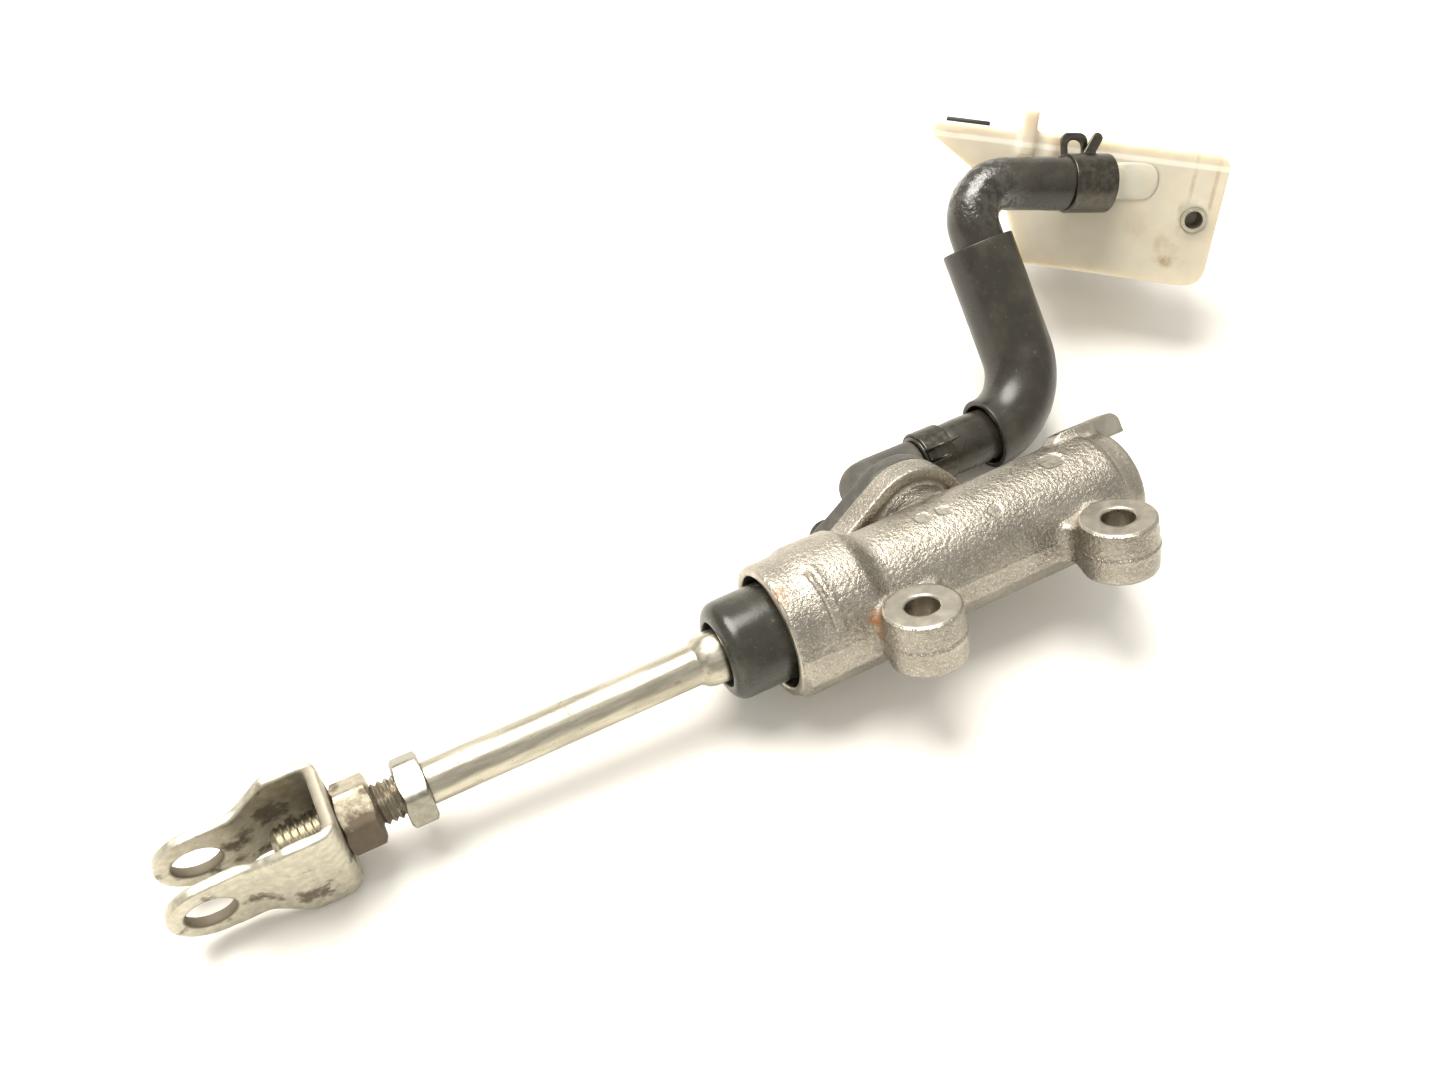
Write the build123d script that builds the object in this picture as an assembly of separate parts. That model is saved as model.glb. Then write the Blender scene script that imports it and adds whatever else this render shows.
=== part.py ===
from build123d import *
import math
import os

# Rear brake master cylinder with its remote reservoir, lying as it rests on a bench.
# Millimetres. +X runs along the bore from the push rod to the outlet port, +Z is up.
# The origin is the centre of the outlet port's face, on the bore's axis.

# ---- driving dimensions -------------------------------------------------------------
BODY_ROLL = -25          # the casting is rolled about the bore as it lies
LUG_SPACING = 45.0
LUG_FRONT_X = -14.0      # lug nearest the outlet
LUG_Y = -19.3            # lug centre line, beside the bore
LUG_HALF = 5.7           # half the lug's thickness
LUG_R = 7.65
LUG_HOLE_R = 3.25        # clears an M6 bolt

BORE_R = 7.0             # 14 mm bore
BARREL_R = 11.9
HOUSING_R = 14.3
MOUTH_R = 13.5
MOUTH_BORE_R = 11.6
MOUTH_X = -82.4
MOUTH_FLOOR_X = -68.0    # floor of the boot's pocket
BORE_END_X = -9.8
PORT_R = 4.55            # minor radius of M10 x 1
PORT_DEPTH = 8.6

SEAT_X = -40.6           # hose joint's axis along the barrel
SEAT_Z = 2.0
SEAT_Y = 17.2            # seat face, from the bore's axis
SEAT_T = 5.8
SEAT_R = 12.3
EAR_X = -56.6
EAR_Z = 0.4
EAR_R = 5.0
JOINT_T = 3.9            # thickness of the joint's flange
SCREW_BOSS_T = 0.6       # boss under the joint's screw
SPIGOT_Y = 34.2          # hose axis, in the casting's own directions
SPIGOT_Z = SEAT_Z
ELBOW_R = 5.4
HUB_R = 5.7
SPIGOT_R = 3.78

BALL_X = -58.5           # centre of the push rod's ball end
BALL_R = 4.5
PISTON_FRONT_X = -38.0
PISTON_R = 6.95
ROD_R = 4.0
COLLAR_X = -94.3
COLLAR_R = 5.7
THREAD_START_X = -151.9  # end of the smooth shank
ROD_TIP_X = -178.8
THREAD_PITCH = 1.25
THREAD_DEPTH = 0.55
NUT_AF = 12.0            # across flats
LOCK_NUT_T = 5.0
CLEVIS_NUT_T = 6.4
LOCK_NUT_X = -156.5      # face away from the body
CLEVIS_BASE_X = -167.4   # clevis's back face
NUT_BORE_R = 4.06        # plain bore that stands for the nut's thread

CLEVIS_EYE_X = -191.3
CLEVIS_T = 2.2
CLEVIS_BASE_HALF = 8.2   # half the width over the base
CLEVIS_EYE_HALF = 6.0    # half the width over the eyes
CLEVIS_HEIGHT = 22.6
CLEVIS_EYE_R = 8.0
PIN_HOLE_R = 4.1         # 8 mm pin

HOSE_R = 6.0
HOSE_BORE_R = 3.8
SLEEVE_R = 8.2
SLEEVE_BORE_R = 7.0
CLIP_T = 0.7
LOWER_CLIP_WIDTH = 6.6
UPPER_CLIP_WIDTH = 10.4

# Corners of the hose's centre line, from the joint to the reservoir, and its two bends.
ROLL = math.radians(BODY_ROLL)
HOSE_Y = SPIGOT_Y * math.cos(ROLL) - SPIGOT_Z * math.sin(ROLL)
HOSE_Z = SPIGOT_Y * math.sin(ROLL) + SPIGOT_Z * math.cos(ROLL)
HOSE_ROUTE = [
    (-26.4, HOSE_Y, HOSE_Z), (7.8, HOSE_Y, HOSE_Z), (7.8, 75.0, 23.0), (43.0, 63.4, 18.8),
]
HOSE_BENDS = [15.0, 8.2]
SLEEVE_START_X = -8.2
SLEEVE_REACH = 0.75      # how far the sleeve covers the middle run
SLEEVE_LEAN = -0.6       # its upper end hangs off the hose's centre line

TANK_ORIGIN = (27.1, 69.6, -4.0)     # lower corner of the reservoir's face
TANK_YAW = -39.7
TANK_LEAN = 30.0
TANK_OUTLINE = [
    (0.0, 0.0), (44.4, 0.0), (44.4, 31.4), (-26.6, 31.4), (-26.6, 27.8),
    (-15.0, 20.7), (-5.7, 12.7),
]
TANK_CORNERS = [1.5, 4.5, 3.5, 1.4, 1.4, 6.0, 6.0]   # one radius for each corner
TANK_WALL = 1.6
BASE_T = 2.2
TANK_DEPTH = 20.0
NECK_S = 15.0            # filler neck's centre on the back face
NECK_H = 15.7
NECK_R = 10.5
NECK_BORE_R = 8.6
NECK_LENGTH = 6.0
CAP_R = 13.0
CAP_HEIGHT = 9.5
INSERT_S = 38.6
INSERT_H = 16.0
INSERT_R = 2.9
INSERT_HOLE_R = 2.1      # minor radius of M5
INSERT_DEPTH = 7.5

UP = Align.MIN
MID = Align.CENTER


# ---- helpers ------------------------------------------------------------------------
def turned(points):
    """Solid of revolution about X from (x, radius) points."""
    return revolve(make_face(Polyline(*points, close=True)), Axis.X)


def bar_x(x0, x1, radius):
    return Pos((x0 + x1) / 2, 0, 0) * Rot(Y=90) * Cylinder(radius, x1 - x0)


def bar(start, direction, radius, length):
    return Plane(origin=start, z_dir=direction) * Cylinder(radius, length, align=(MID, MID, UP))


def box_between(low, high):
    size = [b - a for a, b in zip(low, high)]
    centre = [(a + b) / 2 for a, b in zip(low, high)]
    return Pos(*centre) * Box(*size)


def rolled(shape):
    """Turn a shape from the casting's own directions to how it lies."""
    return Rot(X=BODY_ROLL) * shape


def rounded_outline(points, radii):
    return make_face(FilletPolyline(*points, radius=radii, close=True))


def tube_along(points, radii, radius):
    path = FilletPolyline(*points, radius=radii)
    section = Plane(origin=path @ 0, z_dir=path % 0) * Circle(radius)
    return sweep(section, path=path)


def hexagon_nut(x0, thickness, across_flats, bore_r, turn=0.0):
    corner_r = across_flats / math.sqrt(3)
    blank = Pos(x0, 0, 0) * Rot(Y=90) * extrude(
        Rot(Z=turn) * RegularPolygon(corner_r, 6), thickness)
    chamfer_x = 0.6
    face_r = corner_r - 0.95
    guard = turned([
        (x0, 0), (x0, face_r), (x0 + chamfer_x, corner_r + 0.1),
        (x0 + thickness - chamfer_x, corner_r + 0.1), (x0 + thickness, face_r),
        (x0 + thickness, 0),
    ])
    return (blank & guard) - bar_x(x0 - 1, x0 + thickness + 1, bore_r)


# ---- cast body ----------------------------------------------------------------------
def pear(grow=0.0):
    """Outline of the hose seat and of the joint's flange: a disc drawn out to an ear."""
    disc = Pos(SEAT_X, SEAT_Z) * Circle(SEAT_R + grow)
    ear = Pos(EAR_X, EAR_Z) * Circle(EAR_R + grow)
    return make_hull(disc.edges() + ear.edges())


def pear_plate(y0, y1, grow=0.0):
    plate = extrude(pear(grow), y1 - y0)
    return Pos(0, y1, 0) * Rot(X=90) * plate


def bar_y(x, z, y0, y1, radius):
    return Pos(x, (y0 + y1) / 2, z) * Rot(X=90) * Cylinder(radius, y1 - y0)


def lug(x):
    """Drafted boss, split at the mould's parting plane, with a web to the barrel."""
    upper = Pos(x, LUG_Y, LUG_HALF / 2) * Cone(LUG_R + 0.1, LUG_R - 0.15, LUG_HALF)
    lower = Pos(x, LUG_Y, -LUG_HALF / 2) * Cone(LUG_R - 0.35, LUG_R - 0.1, LUG_HALF)
    reach = 13.5
    web_half = 4.7
    web = make_face(Polyline(
        (x - 6.6, LUG_Y), (x + 6.6, LUG_Y), (x + 7.2, -13.5), (x + reach, -6.0),
        (x - reach, -6.0), (x - 7.2, -13.5), close=True))
    return upper + lower + Pos(0, 0, -web_half) * extrude(web, 2 * web_half - 1.2)


def body_blank():
    barrel = turned([
        (-63.0, 0), (-63.0, BARREL_R - 0.5), (-5.6, BARREL_R + 0.4), (-4.8, BARREL_R - 0.4),
        (-0.5, BARREL_R - 0.5), (0, BARREL_R - 1.0), (0, 0),
    ])
    housing = turned([
        (MOUTH_X, 0), (MOUTH_X, MOUTH_R - 0.4), (MOUTH_X + 0.6, MOUTH_R),
        (-76.2, MOUTH_R), (-74.2, HOUSING_R), (-64.6, HOUSING_R), (-60.2, BARREL_R - 0.7),
        (-60.2, 0),
    ])
    # Below the parting plane the casting has straight mould facets.
    keel = make_face(Polyline(
        (-BARREL_R - 0.2, 0.6), (-BARREL_R - 0.2, -4.2), (-7.4, -10.4), (0, -BARREL_R),
        (0, 0.6), close=True))
    facets = make_face(Polyline(
        (-14.2, 0.6), (-13.9, -5.6), (-9.0, -11.4), (0, -MOUTH_R - 0.2), (0, 0.6), close=True))
    to_x = Rot(Z=90) * Rot(X=90)
    keel_bar = Pos(-60, 0, 0) * to_x * extrude(keel, 54)
    facet_bar = Pos(MOUTH_X + 1.5, 0, 0) * to_x * extrude(facets, 19.5)
    seat = pear_plate(SEAT_Y - SEAT_T, SEAT_Y)
    seat -= pear_plate(SEAT_Y - SEAT_T - 1, SEAT_Y - SEAT_T + 1.3, grow=-2.4)
    neck = bar_y(SEAT_X, SEAT_Z, 0, SEAT_Y - 1, 8.6)
    ear_neck = bar_y(EAR_X, EAR_Z, 0, SEAT_Y - 1, EAR_R - 1.0)
    return barrel + housing + keel_bar + facet_bar + seat + neck + ear_neck


def end_stop():
    """Rib on the barrel's end that keeps a banjo fitting from turning."""
    rib = Pos(-2.5, 0, 11.1) * Box(16.8, 5.0, 5.4)
    rib = fillet(rib.edges().filter_by(Axis.Y).group_by(Axis.Z)[-1], 2.4)
    rib -= bar_x(-0.01, 10, 9.2)
    return Rot(X=-28) * rib


def make_body():
    shape = body_blank() + end_stop()
    for x in (LUG_FRONT_X, LUG_FRONT_X - LUG_SPACING):
        shape += lug(x)
    for x in (LUG_FRONT_X, LUG_FRONT_X - LUG_SPACING):
        shape -= Pos(x, LUG_Y, 0) * Cylinder(LUG_HOLE_R, 30)
    # Mouth pocket, circlip groove, bore, outlet.
    shape -= bar_x(MOUTH_X - 1, MOUTH_FLOOR_X, MOUTH_BORE_R)
    shape -= bar_x(-67.0, -65.8, BORE_R + 0.9)
    shape -= bar_x(-69, BORE_END_X, BORE_R)
    shape -= turned([(BORE_END_X - 0.01, 0), (BORE_END_X - 0.01, BORE_R), (-9.2, 2.0),
                     (-8, 2.0), (-8, 0)])
    shape -= bar_x(-PORT_DEPTH, 1, PORT_R)
    # Hose seat: spigot socket, supply port and relief port, ear's screw hole.
    shape -= bar_y(SEAT_X, SEAT_Z, SEAT_Y - 5.0, SEAT_Y + 1, 5.2)
    shape -= bar_y(SEAT_X - 3.4, SEAT_Z, 0, SEAT_Y - 4, 1.3)
    shape -= bar_y(SEAT_X + 3.8, SEAT_Z, 0, SEAT_Y - 4, 0.5)
    shape -= bar_y(EAR_X, EAR_Z, SEAT_Y - 9, SEAT_Y + 1, 2.1)
    return rolled(shape)


# ---- bore parts ---------------------------------------------------------------------
def make_piston():
    back_x = BALL_X + 2.0
    profile = make_face(Polyline(
        (back_x, 0), (back_x, PISTON_R), (-53.4, PISTON_R), (-53.4, 5.0), (-50.2, 5.0),
        (-50.2, PISTON_R), (-48.6, PISTON_R), (-48.6, 4.2), (-43.0, 4.2), (-43.0, PISTON_R),
        (-41.6, PISTON_R), (-41.6, 4.4), (-39.4, 4.4), (-39.4, 6.2), (PISTON_FRONT_X, 6.2),
        (PISTON_FRONT_X, 3.9), (-34.5, 3.7), (-34.5, 0), close=True))
    socket = Pos(BALL_X, 0) * Circle(BALL_R + 0.05)
    return revolve(profile - socket, Axis.X)


def make_cup(x0, x1, inner_r):
    """Rubber cup whose lip opens towards the pressure side."""
    lip_x = x0 + 1.0
    return turned([
        (x0, inner_r), (x0, PISTON_R - 0.15), (x1, PISTON_R), (x1, PISTON_R - 1.0),
        (lip_x, PISTON_R - 1.3), (lip_x, inner_r),
    ])


def make_return_spring():
    wire_r = 0.55
    coil_r = 4.9
    start_x = PISTON_FRONT_X + wire_r
    length = BORE_END_X - 0.6 - start_x - wire_r
    coil = Helix(pitch=length / 8.0, height=length, radius=coil_r)
    wire = sweep(Plane(origin=coil @ 0, z_dir=coil % 0) * Circle(wire_r), path=coil)
    return Pos(start_x, 0, 0) * Rot(Y=90) * wire


def make_circlip():
    ring = bar_x(-66.9, -65.9, BORE_R + 0.8) - bar_x(-68, -65, 5.9)
    return rolled(ring - box_between((-68, -2.2, -9), (-65, 2.2, 0)))


def make_stop_washer():
    return bar_x(-65.2, -64.0, 6.9) - bar_x(-66, -63, 5.0)


# ---- boot, push rod, nuts and clevis --------------------------------------------------
def make_boot():
    return turned([
        (-68.1, 8.4), (-68.1, 11.5), (-70.6, 11.5), (-71.2, 10.0), (-90.0, 9.9),
        (-92.0, 9.2), (-93.3, 7.6), (-93.5, 6.9), (-90.8, 6.0), (-89.8, 4.06),
        (-88.6, 4.06), (-88.0, 8.2), (-73.0, 8.4),
    ])


def make_pushrod():
    steps = int((THREAD_START_X - ROD_TIP_X - 1.0) / THREAD_PITCH)
    thread = []
    for i in range(steps):
        x = ROD_TIP_X + 0.8 + i * THREAD_PITCH
        thread += [(x, ROD_R - THREAD_DEPTH), (x + THREAD_PITCH / 2, ROD_R - 0.04)]
    outline = [(ROD_TIP_X, 0), (ROD_TIP_X, ROD_R - 1.0)] + thread
    outline += [
        (THREAD_START_X - 0.6, ROD_R - THREAD_DEPTH), (THREAD_START_X, ROD_R),
        (-63.7, ROD_R), (-63.7, 5.5), (-62.6, 5.5), (-62.3, 3.2), (BALL_X, 3.0), (BALL_X, 0),
    ]
    collar = Pos(COLLAR_X, 0, 0) * Sphere(COLLAR_R)
    flat_y = 4.9             # half the spanner size over the collar's flats
    for side in (-1, 1):
        collar -= Rot(X=38) * box_between(
            (COLLAR_X - 7, side * flat_y if side > 0 else -9, -9),
            (COLLAR_X + 7, 9 if side > 0 else -flat_y, 9))
    return turned(outline) + Pos(BALL_X, 0, 0) * Sphere(BALL_R) + collar


def clevis_plan(offset):
    """One side of the fork in plan: along the base, then joggled in to the eye."""
    base = CLEVIS_BASE_HALF - offset
    eye = CLEVIS_EYE_HALF - offset
    joggle_start = CLEVIS_BASE_X - 10.0
    joggle_end = CLEVIS_BASE_X - 16.6
    tip = CLEVIS_EYE_X - CLEVIS_EYE_R - 1
    return [(CLEVIS_BASE_X - offset, base), (joggle_start, base), (joggle_end, eye), (tip, eye)]


def make_clevis():
    outer = clevis_plan(0)
    inner = clevis_plan(CLEVIS_T)
    half_plan = outer + inner[::-1]
    other_half = [(x, -y) for x, y in half_plan]
    plan = half_plan + other_half[::-1]
    strip = extrude(make_face(Polyline(*plan, close=True)), CLEVIS_HEIGHT / 2, both=True)
    corner_edges = strip.edges().filter_by(Axis.Z)
    outside = [e for e in corner_edges if abs(e.center().X - CLEVIS_BASE_X) < 0.1]
    strip = fillet(outside, 3.0)
    # Side view: full height at the base, waisted down to the round eye.
    half = CLEVIS_HEIGHT / 2
    eye_z = CLEVIS_EYE_R
    back = CLEVIS_BASE_X + 1
    side = make_face(Polyline(
        (back, half), (back, -half), (CLEVIS_BASE_X - 9.0, -half),
        (CLEVIS_BASE_X - 15.0, -eye_z - 0.3), (CLEVIS_EYE_X + 1.0, -eye_z),
        (CLEVIS_EYE_X + 1.0, eye_z), (CLEVIS_BASE_X - 15.0, eye_z + 0.3),
        (CLEVIS_BASE_X - 9.0, half), close=True))
    side = side + Pos(CLEVIS_EYE_X + 1.0, 0) * Circle(CLEVIS_EYE_R)
    shadow = Pos(0, 15, 0) * Rot(X=90) * extrude(side, 30)
    fork = strip & shadow
    fork -= bar_y(CLEVIS_EYE_X, 0, -20, 20, PIN_HOLE_R)
    return fork - bar_x(CLEVIS_BASE_X - 5, CLEVIS_BASE_X + 2, NUT_BORE_R)


# ---- hose joint -----------------------------------------------------------------------
def make_hose_joint():
    flange_top = SEAT_Y + JOINT_T
    shape = pear_plate(SEAT_Y, flange_top, grow=-0.2)
    shape += bar_y(SEAT_X, SEAT_Z, SEAT_Y - 4.4, SEAT_Y + 1, 5.1)
    shape += bar_y(EAR_X, EAR_Z, flange_top - 1, flange_top + SCREW_BOSS_T, 4.6)
    hub = bar_y(SEAT_X, SEAT_Z, flange_top - 1, SPIGOT_Y + 2.6, HUB_R)
    shape += fillet(hub.edges().group_by(Axis.Y)[-1], 2.8)
    elbow_start = SEAT_X + 1.0
    elbow_end = HOSE_ROUTE[0][0] - 0.1
    elbow = bar((elbow_start, SPIGOT_Y, SPIGOT_Z), (1, 0, 0), ELBOW_R, elbow_end - elbow_start)
    shape += elbow
    shape += bar((-33, SPIGOT_Y, SPIGOT_Z), (1, 0, 0), SPIGOT_R, 21)
    # Passages: up from the seat, then out through the spigot.
    shape -= bar_y(SEAT_X, SEAT_Z, SEAT_Y - 6, SPIGOT_Y, 2.6)
    shape -= bar((SEAT_X, SPIGOT_Y, SPIGOT_Z), (1, 0, 0), 2.6, 60)
    # Seal groove and screw hole.
    groove = bar_y(SEAT_X, SEAT_Z, SEAT_Y - 3.4, SEAT_Y - 1.6, 7)
    shape -= groove - bar_y(SEAT_X, SEAT_Z, 0, 40, 4.1)
    shape -= bar_y(EAR_X, EAR_Z, 0, 40, 2.3)
    return rolled(shape)


def make_joint_seal():
    ring = bar_y(SEAT_X, SEAT_Z, SEAT_Y - 3.3, SEAT_Y - 1.7, 5.18)
    return rolled(ring - bar_y(SEAT_X, SEAT_Z, 0, 40, 4.12))


def make_joint_screw():
    seat = SEAT_Y + JOINT_T + SCREW_BOSS_T
    shank = bar_y(EAR_X, EAR_Z, SEAT_Y - 8, seat + 1, 2.0)
    head = bar_y(EAR_X, EAR_Z, seat, seat + 2.2, 3.6)
    slot = box_between((EAR_X - 0.5, seat + 1.2, EAR_Z - 2.4), (EAR_X + 0.5, seat + 3, EAR_Z + 2.4))
    cross = box_between((EAR_X - 2.4, seat + 1.2, EAR_Z - 0.5), (EAR_X + 2.4, seat + 3, EAR_Z + 0.5))
    return rolled(shank + head - slot - cross)


# ---- hose, sleeve and clips -------------------------------------------------------------
def make_hose():
    length = FilletPolyline(*HOSE_ROUTE, radius=HOSE_BENDS).length
    hose = tube_along(HOSE_ROUTE, HOSE_BENDS, HOSE_R)
    hose -= tube_along(HOSE_ROUTE, HOSE_BENDS, HOSE_BORE_R)
    section = math.pi * (HOSE_R ** 2 - HOSE_BORE_R ** 2)
    print("hose bends:", HOSE_BENDS, "length:", round(length, 1))
    print("hose volume / (section x length):", round(hose.volume / (section * length), 4))
    return hose


def make_sleeve():
    x0, y0, z0 = HOSE_ROUTE[0]
    low, high = Vector(*HOSE_ROUTE[1]), Vector(*HOSE_ROUTE[2])
    end = low + (high - low) * SLEEVE_REACH + Vector(SLEEVE_LEAN, 0, 0)
    route = [(SLEEVE_START_X, y0, z0), HOSE_ROUTE[1], tuple(end)]
    bend = HOSE_BENDS[:1]
    return tube_along(route, bend, SLEEVE_R) - tube_along(route, bend, SLEEVE_BORE_R)


def make_clip(centre, direction, ears, width):
    """Spring band with two ears to pinch: one windowed, one plain."""
    inner = HOSE_R + 0.03
    ear_shift = width / 2 - 2.8
    ring = Cylinder(inner + CLIP_T, width) - Cylinder(inner, width + 1)
    window_ear = Pos(inner + 3.2, -1.6, -ear_shift) * Box(6.4, CLIP_T, 5.6)
    window_ear -= Pos(inner + 3.6, -1.6, -ear_shift) * Box(3.2, 2 * CLIP_T, 3.0)
    plain_ear = Pos(inner + 2.6, 2.4, width / 2 - 1.7) * Box(5.2, CLIP_T, 3.0)
    clear = Cylinder(inner, width + 1)
    plane = Plane(origin=centre, z_dir=direction, x_dir=ears)
    return plane * (ring + (window_ear - clear) + (plain_ear - clear))


def make_upper_clip():
    start = Vector(*HOSE_ROUTE[-2])
    end = Vector(*HOSE_ROUTE[-1])
    direction = (end - start).normalized()
    centre = end - direction * (UPPER_CLIP_WIDTH / 2 + 0.4)
    return make_clip(centre, direction, (0.3, 0.7, 0.65), UPPER_CLIP_WIDTH)


def make_lower_clip():
    x0, y0, z0 = HOSE_ROUTE[0]
    centre = (x0 + LOWER_CLIP_WIDTH / 2 + 0.6, y0, z0)
    return make_clip(centre, (1, 0, 0), (0, -0.56, 0.83), LOWER_CLIP_WIDTH)


# ---- reservoir ----------------------------------------------------------------------------
def tank_plane():
    yaw = math.radians(TANK_YAW)
    lean = math.radians(TANK_LEAN)
    along = (math.cos(yaw), math.sin(yaw), 0)
    outward = (math.sin(yaw) * math.cos(lean), -math.cos(yaw) * math.cos(lean), math.sin(lean))
    return Plane(origin=TANK_ORIGIN, x_dir=along, z_dir=outward)


def tank_outline(inset=0.0):
    face = rounded_outline(TANK_OUTLINE, TANK_CORNERS)
    return offset(face, -inset, kind=Kind.INTERSECTION) if inset else face


def make_reservoir_base():
    """The tank's moulded face: outward is the plane's +Z."""
    plane = tank_plane()
    shape = Pos(0, 0, -BASE_T) * extrude(tank_outline(), BASE_T)
    shape = shape.clean()
    end = plane.to_local_coords(Vector(*HOSE_ROUTE[-1]))
    before = plane.to_local_coords(Vector(*HOSE_ROUTE[-2]))
    into_tank = (end - before).normalized()
    root = end + into_tank * 0.15
    tip = end - into_tank * 14
    fairing = bar(tuple(root), tuple(into_tank), SPIGOT_R + 0.7, 13)
    fairing = fillet(fairing.edges().group_by(Axis.X)[-1], 3.4)
    above_face = box_between((-10, 0, -0.5), (60, 40, 20))
    shape += fairing & above_face
    shape += bar(tuple(tip), tuple(into_tank), SPIGOT_R, 16)
    shape += Pos(INSERT_S, INSERT_H, -INSERT_DEPTH - 1.5) * Cylinder(
        INSERT_R + 0.8, INSERT_DEPTH + 1.9, align=(MID, MID, UP))
    shape += box_between((-5.5, 25.5, -BASE_T), (-1.9, 36.4, 1.3))
    shape += box_between((1.3, 25.5, -0.5), (3.7, 31.4, 0.9))
    inner_end = end + into_tank * 8
    shape -= bar(tuple(tip - into_tank), tuple(into_tank), 2.4, 23)
    shape -= Pos(inner_end.X, inner_end.Y, -4) * Cylinder(2.2, inner_end.Z + 4, align=(MID, MID, UP))
    shape -= Pos(INSERT_S, INSERT_H, -INSERT_DEPTH) * Cylinder(
        INSERT_R + 0.02, INSERT_DEPTH + 2, align=(MID, MID, UP))
    return plane * shape


def make_reservoir_shell():
    outer = extrude(tank_outline(0.45), TANK_DEPTH)
    inner = extrude(tank_outline(0.45 + TANK_WALL), TANK_DEPTH - TANK_WALL)
    top = -BASE_T
    shell = Pos(0, 0, top - TANK_DEPTH) * outer
    shell -= Pos(0, 0, top - TANK_DEPTH + TANK_WALL) * inner
    back = top - TANK_DEPTH
    shell += Pos(NECK_S, NECK_H, back - NECK_LENGTH) * Cylinder(
        NECK_R, NECK_LENGTH + 1, align=(MID, MID, UP))
    shell -= Pos(NECK_S, NECK_H, back - NECK_LENGTH - 1) * Cylinder(
        NECK_BORE_R, NECK_LENGTH + 4, align=(MID, MID, UP))
    return tank_plane() * shell


def make_threaded_insert():
    tube = Pos(INSERT_S, INSERT_H, -INSERT_DEPTH) * Cylinder(
        INSERT_R, INSERT_DEPTH + 0.8, align=(MID, MID, UP))
    tube -= Pos(INSERT_S, INSERT_H, -INSERT_DEPTH - 1) * Cylinder(
        INSERT_HOLE_R, INSERT_DEPTH + 3, align=(MID, MID, UP))
    return tank_plane() * tube


def make_edge_pad():
    return tank_plane() * box_between((-23.6, 31.0, -15.0), (-13.0, 32.0, -5.0))


def make_cap():
    back = -BASE_T - TANK_DEPTH - 0.6
    cap = Pos(NECK_S, NECK_H, back - CAP_HEIGHT) * Cylinder(CAP_R, CAP_HEIGHT, align=(MID, MID, UP))
    cap -= Pos(NECK_S, NECK_H, back - CAP_HEIGHT + 2.5) * Cylinder(
        NECK_R + 0.3, CAP_HEIGHT, align=(MID, MID, UP))
    grips = 24
    for i in range(grips):
        angle = math.radians(360 * i / grips)
        cap -= Pos(NECK_S + CAP_R * math.cos(angle), NECK_H + CAP_R * math.sin(angle),
                   back - CAP_HEIGHT / 2) * Cylinder(0.7, CAP_HEIGHT + 2)
    return tank_plane() * cap


def make_diaphragm():
    """Rubber cup that hangs in the neck, its rim on the neck's end."""
    rim_z = -BASE_T - TANK_DEPTH - NECK_LENGTH
    place = Pos(NECK_S, NECK_H, rim_z)
    rim = place * Pos(0, 0, -0.45) * Cylinder(NECK_R - 0.3, 0.9)
    cup = place * Cylinder(NECK_BORE_R - 0.4, 7.5, align=(MID, MID, UP))
    hollow = place * Pos(0, 0, -1) * Cylinder(NECK_BORE_R - 1.4, 7.4, align=(MID, MID, UP))
    return tank_plane() * (rim + cup - hollow)


def make_diaphragm_plate():
    rim_z = -BASE_T - TANK_DEPTH - NECK_LENGTH - 0.9
    ring = Pos(NECK_S, NECK_H, rim_z - 0.7) * Cylinder(NECK_R - 0.2, 0.7, align=(MID, MID, UP))
    ring -= Pos(NECK_S, NECK_H, rim_z - 2) * Cylinder(5.5, 4, align=(MID, MID, UP))
    return tank_plane() * ring


PARTS = {
    "cylinder_body": make_body(),
    "piston": make_piston(),
    "primary_cup": make_cup(-41.55, -39.45, 4.45),
    "secondary_cup": make_cup(-53.35, -50.25, 5.05),
    "return_spring": make_return_spring(),
    "circlip": make_circlip(),
    "stop_washer": make_stop_washer(),
    "dust_boot": make_boot(),
    "pushrod": make_pushrod(),
    "lock_nut": hexagon_nut(LOCK_NUT_X, LOCK_NUT_T, NUT_AF, NUT_BORE_R, turn=12),
    "clevis_nut": hexagon_nut(CLEVIS_BASE_X, CLEVIS_NUT_T, NUT_AF, NUT_BORE_R, turn=20),
    "clevis": make_clevis(),
    "hose_joint": make_hose_joint(),
    "joint_seal": make_joint_seal(),
    "joint_screw": make_joint_screw(),
    "reservoir_hose": make_hose(),
    "hose_sleeve": make_sleeve(),
    "hose_clip_lower": make_lower_clip(),
    "hose_clip_upper": make_upper_clip(),
    "reservoir_base": make_reservoir_base(),
    "reservoir_shell": make_reservoir_shell(),
    "threaded_insert": make_threaded_insert(),
    "edge_pad": make_edge_pad(),
    "reservoir_cap": make_cap(),
    "diaphragm": make_diaphragm(),
    "diaphragm_plate": make_diaphragm_plate(),
}

os.makedirs("parts", exist_ok=True)
for name, shape in PARTS.items():
    export_step(shape, f"parts/{name}.step")
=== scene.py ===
import math

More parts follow.
